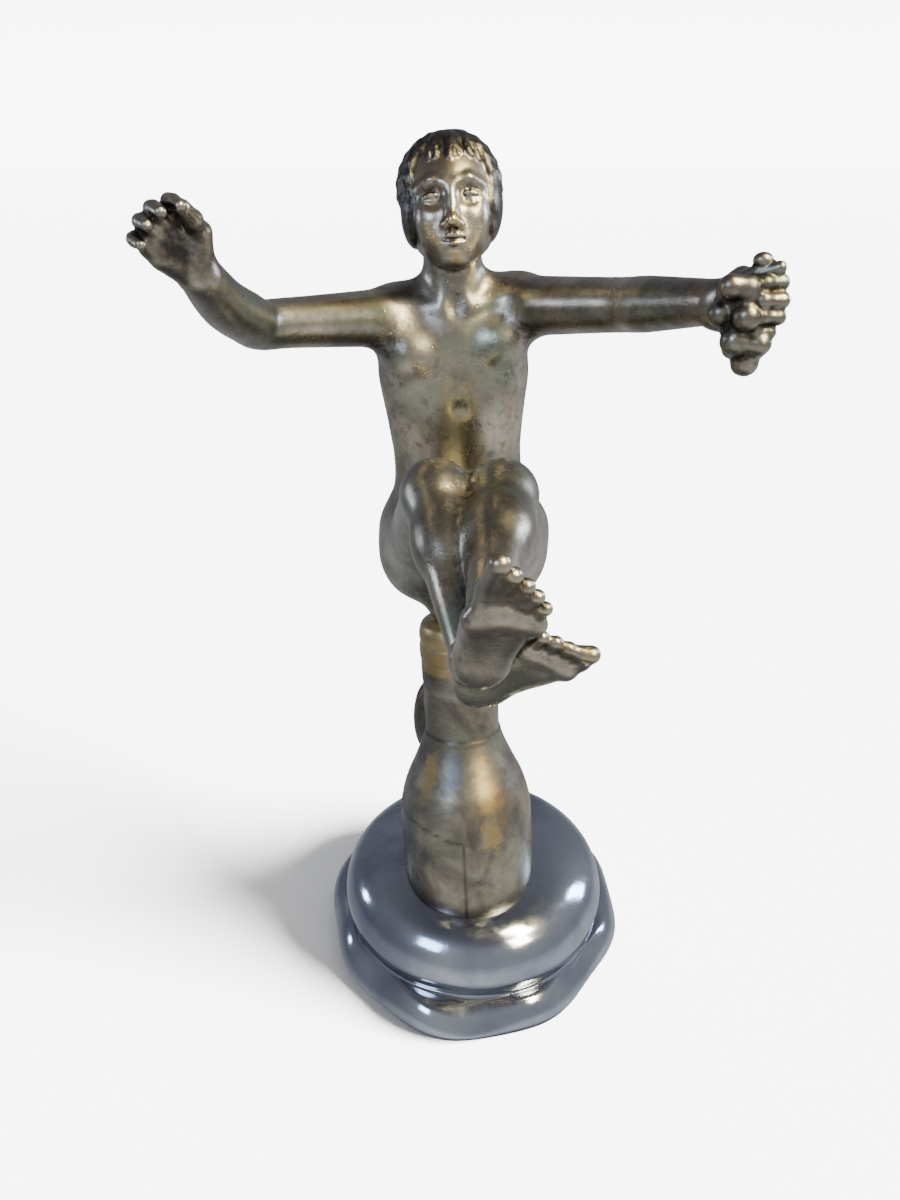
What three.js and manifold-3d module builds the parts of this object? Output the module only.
// Cast bronze mascot: a seated woman holding a bunch of grapes, on the mouth of a
// champagne bottle that stands on a domed cap with a wavy rim.
// Millimetres, +Z up. The woman looks along -Y and her right side is on -X. The shapes
// are placed in one modelling frame, whose Z = 0 is the underside of the cap, and each
// mesh is then moved so that the centre of that underside is the origin.
import * as THREE from "three";
import { mergeVertices } from "three/addons/utils/BufferGeometryUtils.js";
import Module from "manifold-3d";

const wasm = await Module();
wasm.setup();

const V = (x, y, z) => new THREE.Vector3(x, y, z);
const DEG = Math.PI / 180;

// Driving dimensions.

// Gap left between two castings that rest on each other.
const GAP = 0.3;

// Grid cells of the faceted surfaces.
const CELL_BODY = 4.2;
const CELL_ARM = 3.2;
const CELL_HEAD = 2.5;
const CELL_HAND = 1.2;
const CELL_FOOT = { right: 1.95, left: 1.8 };
const CELL_GRAPES = 1.48;
const CELL_LUMP = 2;

// Faces round the turned pieces.
const BOTTLE_SIDES = 28;
const CAP_SIDES = 44;

// Cap: mean rim radius, rim waves as [waves per turn, height, phase], and centre.
const CAP_CENTRE = V(0.3, 7.3, 0);
const RIM_RADIUS = 36.4;
const RIM_WAVES = [
  [3, 1.1, -1.2],
  [8, 0.55, 2.0],
];
const RIM_THICK = 7.9;
const CREASE_RADIUS = 31.1;
const DOME_RADIUS = 31.9;
const DOME_TOP = 25.3;

// Bottle: where its axis starts and ends, and its radii along it. It leans back, and its
// foot is sunk in the dome.
const BOTTLE_FOOT = V(-0.8, -1.2, 20.6);
const BOTTLE_MOUTH = V(-3.9, 10.5, 88.4);
const BOTTLE_RADIUS = 15.1;
const FOIL_RADIUS = 8.9;
const NECK_RADIUS = 8.3;
const LIP_RADIUS = 8.5;

// Woman: joints of the limbs.
const SHOULDER = { right: V(-16.2, 8.5, 151.8), left: V(8.2, 8.5, 153.8) };
const ELBOW = { right: V(-35.7, -12.5, 155), left: V(22.0, -14.5, 158.4) };
const WRIST = { right: V(-39.6, -29.5, 165.1), left: V(29.8, -33.5, 162.4) };
const HIP = { right: V(-10.8, 9.0, 104.0), left: V(5.0, 9.0, 104.0) };
const KNEE = { right: V(-7.9, -19.5, 129.5), left: V(3.3, -19.5, 129.3) };
const ANKLE = { right: V(-2.2, -49.0, 114.8), left: V(-0.4, -55.5, 124.6) };

// Radii down an arm from the shoulder to the wrist, and the sag of a forearm.
const ARM_RADII = {
  right: [5.2, 4.6, 4.0, 3.95, 4.0, 3.75, 3.1],
  left: [5.2, 4.8, 4.3, 4.15, 4.1, 3.6, 3.0],
};
const ARM_SAG = { right: V(-0.6, 0, -0.8), left: V(0, 0, 0) };

// Masses. Each one holds a signed distance, how softly it joins, and its box.

function cone(a, b, ra, rb, blend) {
  const axis = b.clone().sub(a);
  const square = axis.lengthSq();
  const box = new THREE.Box3().setFromPoints([a, b]);
  const p = new THREE.Vector3();
  return {
    blend,
    box: box.expandByScalar(Math.max(ra, rb)),
    distance(q) {
      p.subVectors(q, a);
      const t = THREE.MathUtils.clamp(p.dot(axis) / square, 0, 1);
      return p.addScaledVector(axis, -t).length() - ra - (rb - ra) * t;
    },
  };
}

function egg(centre, radii, blend) {
  const p = new THREE.Vector3();
  return {
    blend,
    box: new THREE.Box3(centre.clone().sub(radii), centre.clone().add(radii)),
    distance(q) {
      p.subVectors(q, centre).divide(radii);
      const near = p.length();
      const slope = p.divide(radii).length();
      return slope < 1e-9 ? -radii.x : (near * (near - 1)) / slope;
    },
  };
}

// One smooth tapering mass along a curve through the points.
const SPAN_STEPS = 3;

function limb(points, radii, blend) {
  const line = new THREE.CatmullRomCurve3(points, false, "catmullrom", 0.5);
  const steps = (points.length - 1) * SPAN_STEPS;
  const spans = [];
  for (let i = 0; i < steps; i++) {
    const [ra, rb] = [i, i + 1].map((step) => {
      const joint = Math.min(Math.floor(step / SPAN_STEPS), points.length - 2);
      return THREE.MathUtils.lerp(radii[joint], radii[joint + 1], step / SPAN_STEPS - joint);
    });
    spans.push(cone(line.getPoint(i / steps), line.getPoint((i + 1) / steps), ra, rb, 0));
  }
  const box = spans.reduce((all, span) => all.union(span.box), new THREE.Box3());
  return { blend, box, distance: (q) => Math.min(...spans.map((span) => span.distance(q))) };
}

// The same mass taken away instead of added.
const hollow = (mass) => ({ ...mass, cut: true });

function joined(a, b, blend) {
  const h = blend > 0 ? Math.max(blend - Math.abs(a - b), 0) / blend : 0;
  return Math.min(a, b) - (h * h * blend) / 4;
}

function add(mass, value, point) {
  const d = mass.distance(point);
  return mass.cut ? -joined(-value, d, mass.blend) : joined(value, d, mass.blend);
}

function distanceTo(masses, point) {
  return masses.reduce((value, mass) => add(mass, value, point), 1e3);
}

// Faceting: one vertex for each sheet of surface in each grid cell.

const EDGES = 24; // room for a cell's edges, numbered axis * 8 + first corner

function facet(masses, cell) {
  const box = new THREE.Box3();
  masses.filter((m) => !m.cut).forEach((m) => box.union(m.box));
  box.expandByScalar(2 * cell);
  const size = box.getSize(new THREE.Vector3());
  const n = [size.x, size.y, size.z].map((s) => Math.ceil(s / cell) + 1);
  const step = [1, n[0], n[0] * n[1]];
  const values = sample(masses, cell, box, n, step);
  const positions = [];
  const vertexOf = new Map();
  eachCell([0, 0, 0], n, (i, j, k) => {
    const c = i + j * step[1] + k * step[2];
    for (const { edges, place } of sheets(values, step, c)) {
      place.add(V(i, j, k)).multiplyScalar(cell).add(box.min);
      settle(place, masses, cell);
      edges.forEach((edge) => vertexOf.set(c * EDGES + edge, positions.length / 3));
      positions.push(place.x, place.y, place.z);
    }
  });
  const triangles = [];
  eachCell([1, 1, 1], n, (i, j, k) => {
    const c = i + j * step[1] + k * step[2];
    for (let axis = 0; axis < 3; axis++) {
      const inside = values[c] < 0;
      if (inside === values[c + step[axis]] < 0) continue;
      const [u, v] = [(axis + 1) % 3, (axis + 2) % 3];
      const quad = [
        [0, 0],
        [1, 0],
        [1, 1],
        [0, 1],
      ].map(([a, b]) => {
        const around = c - a * step[u] - b * step[v];
        return vertexOf.get(around * EDGES + axis * 8 + (a << u) + (b << v));
      });
      if (!inside) quad.reverse();
      split(quad, positions, triangles);
    }
  });
  return { positions, triangles };
}

function eachCell(first, n, visit) {
  for (let k = first[2]; k < n[2] - 1; k++)
    for (let j = first[1]; j < n[1] - 1; j++)
      for (let i = first[0]; i < n[0] - 1; i++) visit(i, j, k);
}

// Distances at the grid points, each mass worked out only near itself.
function sample(masses, cell, box, n, step) {
  const values = new Float64Array(n[0] * n[1] * n[2]).fill(1e3);
  for (const mass of masses) {
    const near = mass.box.clone().expandByScalar(mass.blend + 2 * cell);
    const low = near.min.sub(box.min).divideScalar(cell).floor().max(V(0, 0, 0));
    const high = near.max.sub(box.min).divideScalar(cell).ceil();
    const end = high.toArray().map((v, axis) => Math.min(v + 2, n[axis] + 1));
    eachCell(low.toArray(), end, (i, j, k) => {
      const c = i + j * step[1] + k * step[2];
      values[c] = add(mass, values[c], V(i, j, k).multiplyScalar(cell).add(box.min));
    });
  }
  return values;
}

// The sheets of surface in a cell: the edges each one crosses and their mean point.
function sheets(values, step, c) {
  const inside = (corner) => values[c + offset(corner, step)] < 0;
  const crossed = [];
  for (let axis = 0; axis < 3; axis++)
    for (let corner = 0; corner < 8; corner++) {
      const end = corner | (1 << axis);
      if (corner !== end && inside(corner) !== inside(end)) crossed.push(axis * 8 + corner);
    }
  if (!crossed.length) return [];
  const sheetOf = new Map(crossed.map((edge) => [edge, edge]));
  const link = (a, b) => {
    const [old, kept] = [sheetOf.get(a), sheetOf.get(b)];
    for (const edge of crossed) if (sheetOf.get(edge) === old) sheetOf.set(edge, kept);
  };
  for (let normal = 0; normal < 3; normal++)
    for (let side = 0; side < 2; side++) linkFace(normal, side, inside, sheetOf, link);
  return [...new Set(sheetOf.values())].map((sheet) => {
    const edges = crossed.filter((edge) => sheetOf.get(edge) === sheet);
    const place = new THREE.Vector3();
    for (const edge of edges) {
      const [axis, corner] = [edge >> 3, edge & 7];
      const a = values[c + offset(corner, step)];
      const b = values[c + offset(corner | (1 << axis), step)];
      const p = V(corner & 1, (corner >> 1) & 1, corner >> 2);
      place.add(p.setComponent(axis, a / (a - b)));
    }
    return { edges, place: place.divideScalar(edges.length) };
  });
}

function offset(corner, step) {
  return (corner & 1) + ((corner >> 1) & 1) * step[1] + (corner >> 2) * step[2];
}

// Joins the crossed edges of one face of a cell, round each inside corner if four are.
function linkFace(normal, side, inside, sheetOf, link) {
  const [u, v] = [(normal + 1) % 3, (normal + 2) % 3];
  const base = side << normal;
  const edges = [
    u * 8 + base,
    v * 8 + base + (1 << u),
    u * 8 + base + (1 << v),
    v * 8 + base,
  ];
  const crossed = edges.filter((edge) => sheetOf.has(edge));
  if (crossed.length === 2) link(...crossed);
  if (crossed.length !== 4) return;
  if (inside(base)) {
    link(edges[3], edges[0]);
    link(edges[1], edges[2]);
  } else {
    link(edges[0], edges[1]);
    link(edges[2], edges[3]);
  }
}

// Moves a vertex on to the surface, by less than half a cell.
function settle(p, masses, cell) {
  const e = 0.05;
  const start = p.clone();
  for (let pass = 0; pass < 2; pass++) {
    const d = distanceTo(masses, p);
    const slope = V(
      distanceTo(masses, p.clone().add(V(e, 0, 0))) - d,
      distanceTo(masses, p.clone().add(V(0, e, 0))) - d,
      distanceTo(masses, p.clone().add(V(0, 0, e))) - d,
    ).divideScalar(e);
    if (slope.lengthSq() < 0.05) return;
    p.addScaledVector(slope, -d / slope.lengthSq());
  }
  const moved = p.clone().sub(start);
  p.copy(start.add(moved.clampLength(0, 0.4 * cell)));
}

// Cuts a quad along its shorter diagonal.
function split([a, b, c, d], positions, triangles) {
  const place = (i) => V().fromArray(positions, 3 * i);
  if (place(a).distanceTo(place(c)) < place(b).distanceTo(place(d)))
    triangles.push(a, b, c, a, c, d);
  else triangles.push(a, b, d, b, c, d);
}

function solid({ positions, triangles }) {
  return new wasm.Manifold(
    new wasm.Mesh({
      numProp: 3,
      vertProperties: new Float32Array(positions),
      triVerts: new Uint32Array(triangles),
    }),
  );
}

// The woman.

function torso() {
  return [
    egg(V(-2.6, 10.5, 110), V(17.2, 9.4, 10.5), 0),
    egg(V(-10.4, 12, 102.6), V(8.2, 9.4, 9.4), 4),
    egg(V(5.2, 12, 103.2), V(8.2, 9.4, 9.4), 4),
    egg(V(-3.7, 10.6, 97), V(8.5, 8, 10.5), 3),
    egg(V(-3.6, 8, 117.5), V(12.4, 8.2, 13), 6),
    egg(V(-4.3, 9, 129), V(12.2, 7.8, 12), 5),
    egg(V(-4.9, 9, 142.5), V(14, 8.8, 13.5), 7),
    cone(V(-13, 9.5, 150.8), V(4.6, 9.5, 153.2), 5, 5, 5),
    egg(V(-12.8, 3, 146.3), V(4, 3.6, 3.9), 2.5),
    egg(V(3.9, 3.3, 148.3), V(4.1, 3.5, 3.9), 2.5),
    cone(V(-4.8, 9.5, 151), V(-5.2, 8.8, 167), 5.5, 5, 3),
    cone(V(-6, 10.5, 156.6), V(-14.5, 9.5, 153.1), 3.1, 3.1, 3.5),
    cone(V(-4, 10.5, 156.8), V(6, 9.5, 154.9), 3.1, 3.1, 3.5),
  ];
}

function arm(side) {
  const [s, e, w, sag] = [SHOULDER[side], ELBOW[side], WRIST[side], ARM_SAG[side]];
  const points = [
    s,
    s.clone().lerp(e, 0.35),
    s.clone().lerp(e, 0.8),
    e,
    e.clone().lerp(w, 0.25).addScaledVector(sag, 0.6),
    e.clone().lerp(w, 0.6).add(sag),
    w,
  ];
  return [limb(points, ARM_RADII[side], 0)];
}

// The part of an arm that joins the shoulder softly.
function stump(side) {
  const [s, e] = [SHOULDER[side], ELBOW[side]];
  return [cone(s, s.clone().lerp(e, 0.35), ARM_RADII[side][0], ARM_RADII[side][1], 4)];
}

function leg(side) {
  const [h, k, a] = [HIP[side], KNEE[side], ANKLE[side]];
  return [
    cone(h, k, 8.6, 5.4, 4),
    cone(h.clone().lerp(k, 0.95), k.clone().lerp(a, 0.06), 5.3, 5.1, 2),
    cone(k.clone().lerp(a, 0.05), k.clone().lerp(a, 0.35), 4.8, 5.2, 3),
    cone(k.clone().lerp(a, 0.3), a, 5.1, 3.1, 3),
  ];
}

// Axes of a hand or foot: y along it, x as near as can be to the given side.
function axes(along, side) {
  const y = along.clone().normalize();
  const x = side.clone().addScaledVector(y, -side.dot(y)).normalize();
  return { x, y, z: new THREE.Vector3().crossVectors(x, y) };
}

function placer(origin, { x, y, z }, turn = 1) {
  return (u, v, w) =>
    origin
      .clone()
      .addScaledVector(x, u)
      .addScaledVector(y, v)
      .addScaledVector(z, w * turn);
}

// Foot: x to the big toe, y from heel to toe, z from the sole to the instep.
const LEFT_TOES = [
  { ball: [2.7, 12, 2.2], pad: 2.2, bend: [2.4, 17.2, 3.2], tip: [2.4, 23.8, 1.7], radius: 1.45 },
  { ball: [0.9, 12.6, 2.1], pad: 2, bend: [0.6, 17, 3.1], tip: [0.3, 22, 1.5], radius: 1.15 },
  { ball: [-1, 12.6, 2], pad: 1.9, bend: [-1.3, 16.2, 2.8], tip: [-1.7, 20.2, 1.4], radius: 1.1 },
  { ball: [-2.8, 12.2, 1.9], pad: 1.9, bend: [-3, 15.3, 2.5], tip: [-3.5, 18.2, 1.4], radius: 1.05 },
  { ball: [-4.7, 11.6, 1.9], pad: 1.95, bend: [-4.8, 14, 2.1], tip: [-5.1, 15.8, 1.4], radius: 1.05 },
];
const RIGHT_TOES = [
  { ball: [3.5, 15.8, 1.9], pad: 1.9, bend: [4, 18.4, 2.4], tip: [2.9, 21.4, 1.7], radius: 1.3 },
  { ball: [2, 15.8, 1.8], pad: 1.6, bend: [2.2, 18, 2.6], tip: [1.6, 20.6, 1.5], radius: 1.05 },
  { ball: [0.4, 15.4, 1.7], pad: 1.6, bend: [0.7, 17.6, 2.5], tip: [-0.1, 20, 1.4], radius: 1 },
  { ball: [-1.3, 14.8, 1.6], pad: 1.6, bend: [-1.2, 16.9, 2.2], tip: [-2, 19.4, 1.4], radius: 1 },
  { ball: [-2.9, 14, 1.5], pad: 1.5, bend: [-3, 16, 2], tip: [-3.9, 18.6, 1.4], radius: 1 },
];
const SOLE_RADIUS = 30;

// Row of cones along a line of points.
function path(points, radii, blend) {
  return points
    .slice(1)
    .map((point, i) => cone(points[i], point, radii[i], radii[i + 1], blend));
}

function foot(ankle, at, toes, thick) {
  const [inner, outer] = [toes[0].ball, toes[3].ball];
  const heel = 3.4 * thick;
  const masses = [
    egg(at(0, 1.2, 2.4), V(heel, heel, heel), 0),
    cone(ankle, at(0, 3, 4.4), 3.1, 3.2 * thick, 3),
    cone(at(0.5, 3, 2.6), at(inner[0] - 0.8, inner[1] - 1, 2.4), 3.1 * thick, 2.1 * thick, 2),
    cone(at(-0.8, 3, 2.2), at(outer[0] - 0.2, outer[1] - 1, 2), 2.7 * thick, 2.1 * thick, 2),
    cone(ankle, at(0.7, 12, 3.2), 3.1, 2.2 * thick, 3),
  ];
  for (const { ball, pad, bend, tip, radius } of toes) {
    masses.push(egg(at(...ball), V(pad, pad, pad), 1.2));
    const line = [at(...ball), at(...bend), at(...tip)];
    masses.push(...path(line, [radius, radius * 0.9, radius], 0.6));
  }
  const sole = V(SOLE_RADIUS, SOLE_RADIUS, SOLE_RADIUS);
  masses.push(hollow(egg(at(0, 8, 0.1 - SOLE_RADIUS), sole, 3)));
  return masses;
}

function rightFoot() {
  const rows = axes(V(0.65, -0.4, 0.646), V(0.732, 0.098, -0.675));
  return foot(ANKLE.right, placer(V(-2.6, -48.3, 107.6), rows, -1), RIGHT_TOES, 1.12);
}

function leftFoot() {
  const rows = axes(V(0.17, -0.376, 0.911), V(-0.98, -0.163, 0.115));
  return foot(ANKLE.left, placer(V(-1.2, -57.3, 116.3), rows), LEFT_TOES, 1);
}

// Hand: x to the thumb, y from the wrist to the knuckles, z out of the palm.
const FINGERS = [
  { knuckle: [3.2, 8.3], bones: [3.8, 2.5, 2], radius: 1, spread: 5 },
  { knuckle: [1.1, 8.7], bones: [4.2, 2.8, 2.1], radius: 1, spread: 0 },
  { knuckle: [-0.9, 8.5], bones: [4, 2.6, 2], radius: 0.97, spread: -4 },
  { knuckle: [-2.8, 7.8], bones: [3.5, 2.2, 1.8], radius: 0.92, spread: -10 },
];
const HAND_SIZE = 0.93;

function hand(origin, along, palm, turn, curl) {
  const size = HAND_SIZE;
  const y = along.clone().normalize();
  const z = palm.clone().addScaledVector(y, -palm.dot(y)).normalize();
  const x = new THREE.Vector3().crossVectors(y, z).multiplyScalar(turn);
  const place = placer(origin, { x, y, z });
  const at = (u, v, w) => place(u * size, v * size, w * size);
  const bone = (a, b, ra, rb, blend) => cone(a, b, ra * size, rb * size, blend);
  const masses = [
    bone(at(1.6, 1.6, 0.6), at(3.9, 4.6, 1.2), 2, 1.8, 1.2),
    bone(at(-1.2, 1.8, 0.5), at(-2.4, 5.6, 0.6), 1.6, 1.5, 1.2),
  ];
  FINGERS.forEach(({ knuckle, bones, radius, spread }, finger) => {
    const [u, v] = knuckle;
    masses.push(bone(at(u * 0.4, 0.8, 0), at(u, v, -0.1), 1.75, 1.3, 1.5));
    const way = y.clone().applyAxisAngle(z, -spread * turn * DEG);
    const hinge = new THREE.Vector3().crossVectors(way, z);
    let from = at(u, v, 0);
    bones.forEach((length, joint) => {
      way.applyAxisAngle(hinge, curl[finger][joint] * DEG);
      const to = from.clone().addScaledVector(way, length * size);
      const taper = 1 - 0.05 * joint;
      masses.push(bone(from, to, radius * taper, radius * (taper - 0.05), 0.5));
      from = to;
    });
  });
  return { masses, at };
}

function rightHand() {
  const curl = [
    [32, 36, 18],
    [25, 38, 20],
    [20, 42, 20],
    [18, 46, 22],
  ];
  const [way, palm] = [V(-0.38, -0.585, 0.717), V(0.643, -0.72, -0.249)];
  const { masses, at } = hand(V(-39.9, -29.8, 165.8), way, palm, 1, curl);
  const thumb = [at(3.5, 4.2, 0.8), at(4.2, 7.7, 2.8), at(4, 11, 4.4)];
  return [...masses, ...path(thumb, [1.5, 1.2, 1], 0.6)];
}

function leftHand() {
  const curl = [
    [52, 75, 40],
    [55, 75, 40],
    [55, 75, 40],
    [58, 75, 40],
  ];
  const [way, palm] = [V(0.8, -0.58, 0.1), V(-0.58, -0.8, 0.15)];
  const { masses } = hand(V(29.6, -33.6, 161.7), way, palm, -1, curl);
  const thumb = [V(31.4, -36.4, 164.9), V(33.3, -39.6, 167), V(35.4, -41.2, 168)];
  return [...masses, ...path(thumb, [1.5, 1.15, 0.85], 0.5)];
}

// Bunch of grapes: place and radius of each berry, those in front first.
const BERRIES = [
  [29.4, -42, 165.9, 1.4],
  [31.6, -42, 165.7, 1.5],
  [31.8, -42.5, 162.3, 1.65],
  [29.1, -40, 162.2, 1.5],
  [31.2, -41, 159, 1.75],
  [34.1, -41.5, 158.8, 1.55],
  [33.2, -40, 156, 1.7],
  [30.4, -38.6, 164.4, 1.6],
  [33.4, -39, 164.4, 1.6],
  [31.4, -38, 160.6, 1.6],
  [33.9, -38.6, 161.6, 1.6],
  [32, -38.6, 159.6, 1.6],
  [32.4, -37.2, 157.4, 1.6],
  [34.8, -38.2, 157.6, 1.6],
  [33.2, -39.4, 161, 1.6],
  [31.2, -40.2, 164.2, 1.6],
];

function grapes() {
  const masses = BERRIES.map(([x, y, z, r]) => egg(V(x, y, z), V(r, r, r), 0.35));
  masses.push(egg(V(33.6, -39.9, 168.5), V(1.5, 1.3, 1.3), 0.4));
  return masses;
}

// Head: x to her left, y out of the face, z to the crown, about the head's middle.
const HEAD = V(-5.25, 6.4, 170.8);
const HEAD_LIFT = 14;
const HEAD_ROLL = 4;

function head() {
  const turn = new THREE.Quaternion()
    .setFromAxisAngle(V(0, 1, 0), -HEAD_ROLL * DEG)
    .multiply(new THREE.Quaternion().setFromAxisAngle(V(1, 0, 0), -HEAD_LIFT * DEG));
  const at = (x, y, z) => V(x, -y, z).applyQuaternion(turn).add(HEAD);
  const pair = (make) => [make(1), make(-1)];
  return [
    egg(at(-0.2, -1.4, 2.1), V(8.4, 8.9, 9.2), 0),
    egg(at(0, 1.6, -2.2), V(6.4, 6.4, 8.2), 2),
    ...pair((s) => cone(at(4.4 * s, 0.5, -6), at(1.6 * s, 5, -8.6), 1.8, 1.6, 2)),
    egg(at(0, 5.2, -8.4), V(2.6, 2.4, 2.1), 1.5),
    ...pair((s) => egg(at(3.5 * s, 5, -2.6), V(2.3, 2.2, 2.2), 2)),
    ...pair((s) => egg(at(6 * s, -0.4, -0.8), V(3, 5.9, 6.2), 1.5)),
    egg(at(0, -4.5, -2.6), V(6.8, 4.8, 5.8), 2),
    ...pair((s) => hollow(egg(at(3 * s, 9, 0.25), V(2.2, 2.1, 1.6), 1.5))),
    cone(at(0, 7, 1), at(0, 8.9, -3.6), 0.8, 1.2, 0.9),
    egg(at(0, 6.4, -6.4), V(2.9, 2, 2.2), 1.6),
  ];
}

function woman() {
  const body = [...torso(), ...leg("right"), ...leg("left")];
  return solid(facet([...body, ...stump("right"), ...stump("left")], CELL_BODY))
    .add(solid(facet(arm("right"), CELL_ARM)))
    .add(solid(facet(arm("left"), CELL_ARM)))
    .add(solid(facet(head(), CELL_HEAD)))
    .add(solid(facet(rightHand(), CELL_HAND)))
    .add(solid(facet(leftHand(), CELL_HAND)).add(solid(facet(grapes(), CELL_GRAPES))))
    .add(solid(facet(rightFoot(), CELL_FOOT.right)))
    .add(solid(facet(leftFoot(), CELL_FOOT.left)));
}

// Turned pieces.

// A lathe about Z from a profile of [radius, height, share of the swell].
function turned(profile, segments, swell = () => 0) {
  const [first, last] = [profile[0], profile.at(-1)];
  const closed = [[0, first[1]], ...profile, [0, last[1]]];
  const lathe = new THREE.LatheGeometry(
    closed.map(([radius, height]) => new THREE.Vector2(radius, height)),
    segments,
  );
  lathe.deleteAttribute("normal");
  lathe.deleteAttribute("uv");
  const places = lathe.rotateX(Math.PI / 2).attributes.position;
  for (let i = 0; i < places.count; i++) {
    const share = closed[i % closed.length][2] ?? 0;
    const [x, y] = [places.getX(i), places.getY(i)];
    const stretch = share ? 1 + (share * swell(Math.atan2(y, x))) / Math.hypot(x, y) : 1;
    places.setXY(i, x * stretch, y * stretch);
  }
  return lathe;
}

function solidOf(geometry) {
  const merged = mergeVertices(geometry, 1e-4);
  const [places, corners] = [merged.attributes.position.array, merged.index.array];
  const triangles = [];
  for (let i = 0; i < corners.length; i += 3) {
    const [a, b, c] = corners.slice(i, i + 3);
    if (a !== b && b !== c && c !== a) triangles.push(a, b, c);
  }
  return solid({ positions: places, triangles });
}

// Frame of the bottle: its foot at the origin and its axis on Z.
const BOTTLE_AXIS = BOTTLE_MOUTH.clone().sub(BOTTLE_FOOT);
const BOTTLE_LENGTH = BOTTLE_AXIS.length();
const BOTTLE_FRAME = new THREE.Matrix4()
  .makeRotationFromQuaternion(
    new THREE.Quaternion().setFromUnitVectors(V(0, 0, 1), BOTTLE_AXIS.clone().normalize()),
  )
  .setPosition(BOTTLE_FOOT);

const BOTTLE_PROFILE = [
  [BOTTLE_RADIUS - 3.2, 0],
  [BOTTLE_RADIUS - 1.4, 1],
  [BOTTLE_RADIUS - 0.5, 3],
  [BOTTLE_RADIUS, 8],
  [BOTTLE_RADIUS, 21.5],
  [BOTTLE_RADIUS - 0.6, 26],
  [BOTTLE_RADIUS - 1.8, 30],
  [BOTTLE_RADIUS - 3.6, 34],
  [BOTTLE_RADIUS - 5.3, 38],
  [FOIL_RADIUS, 41.3],
  [FOIL_RADIUS, 42.3],
  [NECK_RADIUS + 0.1, 42.7],
  [NECK_RADIUS, BOTTLE_LENGTH - 9.1],
  [NECK_RADIUS + 0.3, BOTTLE_LENGTH - 8.7],
  [NECK_RADIUS + 0.3, BOTTLE_LENGTH - 5.7],
  [LIP_RADIUS, BOTTLE_LENGTH - 4.7],
  [LIP_RADIUS - 0.2, BOTTLE_LENGTH - 2.7],
  [LIP_RADIUS - 0.9, BOTTLE_LENGTH - 0.9],
  [LIP_RADIUS - 2.3, BOTTLE_LENGTH],
];

const RECESS_DEPTH = 16;

// Dark rounded lump on the bottle, at the rear left of the neck.
const LUMP = V(-10.4, 12, 60.2);
const LUMP_SIZE = V(3.6, 4.6, 9.8);

function bottle() {
  return solidOf(turned(BOTTLE_PROFILE, BOTTLE_SIDES).applyMatrix4(BOTTLE_FRAME)).add(
    solid(facet([egg(LUMP, LUMP_SIZE, 0)], CELL_LUMP)),
  );
}

const CAP_PROFILE = [
  [RIM_RADIUS - 2.6, 0, 1],
  [RIM_RADIUS - 0.7, 0.9, 1],
  [RIM_RADIUS, 2.6, 1],
  [RIM_RADIUS - 0.4, 4.4, 1],
  [RIM_RADIUS - 1.6, 6.3, 1],
  [RIM_RADIUS - 3.4, RIM_THICK, 0.8],
  [CREASE_RADIUS, RIM_THICK + 0.7],
  [DOME_RADIUS - 0.4, 10.3],
  [DOME_RADIUS, 12.8],
  [DOME_RADIUS - 0.3, 15.5],
  [DOME_RADIUS - 1.6, 18.8],
  [DOME_RADIUS - 4.2, 21.6],
  [DOME_RADIUS - 7.8, 23.6],
  [DOME_RADIUS - 12.8, 24.8],
  [DOME_RADIUS - 19, DOME_TOP],
];

function rimWave(angle) {
  return RIM_WAVES.reduce((sum, [n, high, turn]) => sum + high * Math.cos(n * angle + turn), 0);
}

// The recess that the foot of the bottle stands in.
function recess() {
  const wall = BOTTLE_PROFILE.filter(([, height]) => height < RECESS_DEPTH);
  const last = [wall.at(-1)[0], RECESS_DEPTH];
  const profile = [...wall, last].map(([radius, height]) => [radius + GAP, height]);
  profile[0][1] -= GAP;
  return solidOf(turned(profile, BOTTLE_SIDES).applyMatrix4(BOTTLE_FRAME));
}

function cap() {
  const body = turned(CAP_PROFILE, CAP_SIDES, rimWave).translate(...CAP_CENTRE.toArray());
  return solidOf(body).subtract(recess());
}

// Takes away the part of the woman that would lie in the mouth of the bottle.
function seatCut() {
  const block = [
    [LIP_RADIUS + 14, BOTTLE_LENGTH - 22],
    [LIP_RADIUS + 14, BOTTLE_LENGTH + GAP],
  ];
  return solidOf(turned(block, BOTTLE_SIDES).applyMatrix4(BOTTLE_FRAME));
}

// The castings as meshes.

function mesh(name, shape, color, roughness) {
  const { numProp, vertProperties, triVerts } = shape.getMesh();
  const places = new Float32Array((vertProperties.length / numProp) * 3);
  for (let i = 0; i < places.length / 3; i++)
    places.set(vertProperties.subarray(i * numProp, i * numProp + 3), 3 * i);
  const geometry = new THREE.BufferGeometry();
  geometry.setAttribute("position", new THREE.BufferAttribute(places, 3));
  geometry.setIndex(new THREE.BufferAttribute(triVerts, 1));
  geometry.computeVertexNormals();
  const material = new THREE.MeshStandardMaterial({ color, roughness, metalness: 0.9 });
  const part = new THREE.Mesh(geometry, material);
  part.name = name;
  part.position.copy(CAP_CENTRE).negate();
  return part;
}

const group = new THREE.Group();
group.name = "bronze_figurine";
group.add(mesh("seated_woman", woman().subtract(seatCut()), 0x8b8474, 0.38));
group.add(mesh("champagne_bottle", bottle(), 0x7f7c6e, 0.34));
group.add(mesh("wavy_cap", cap(), 0x7a7f8c, 0.2));

export default group;
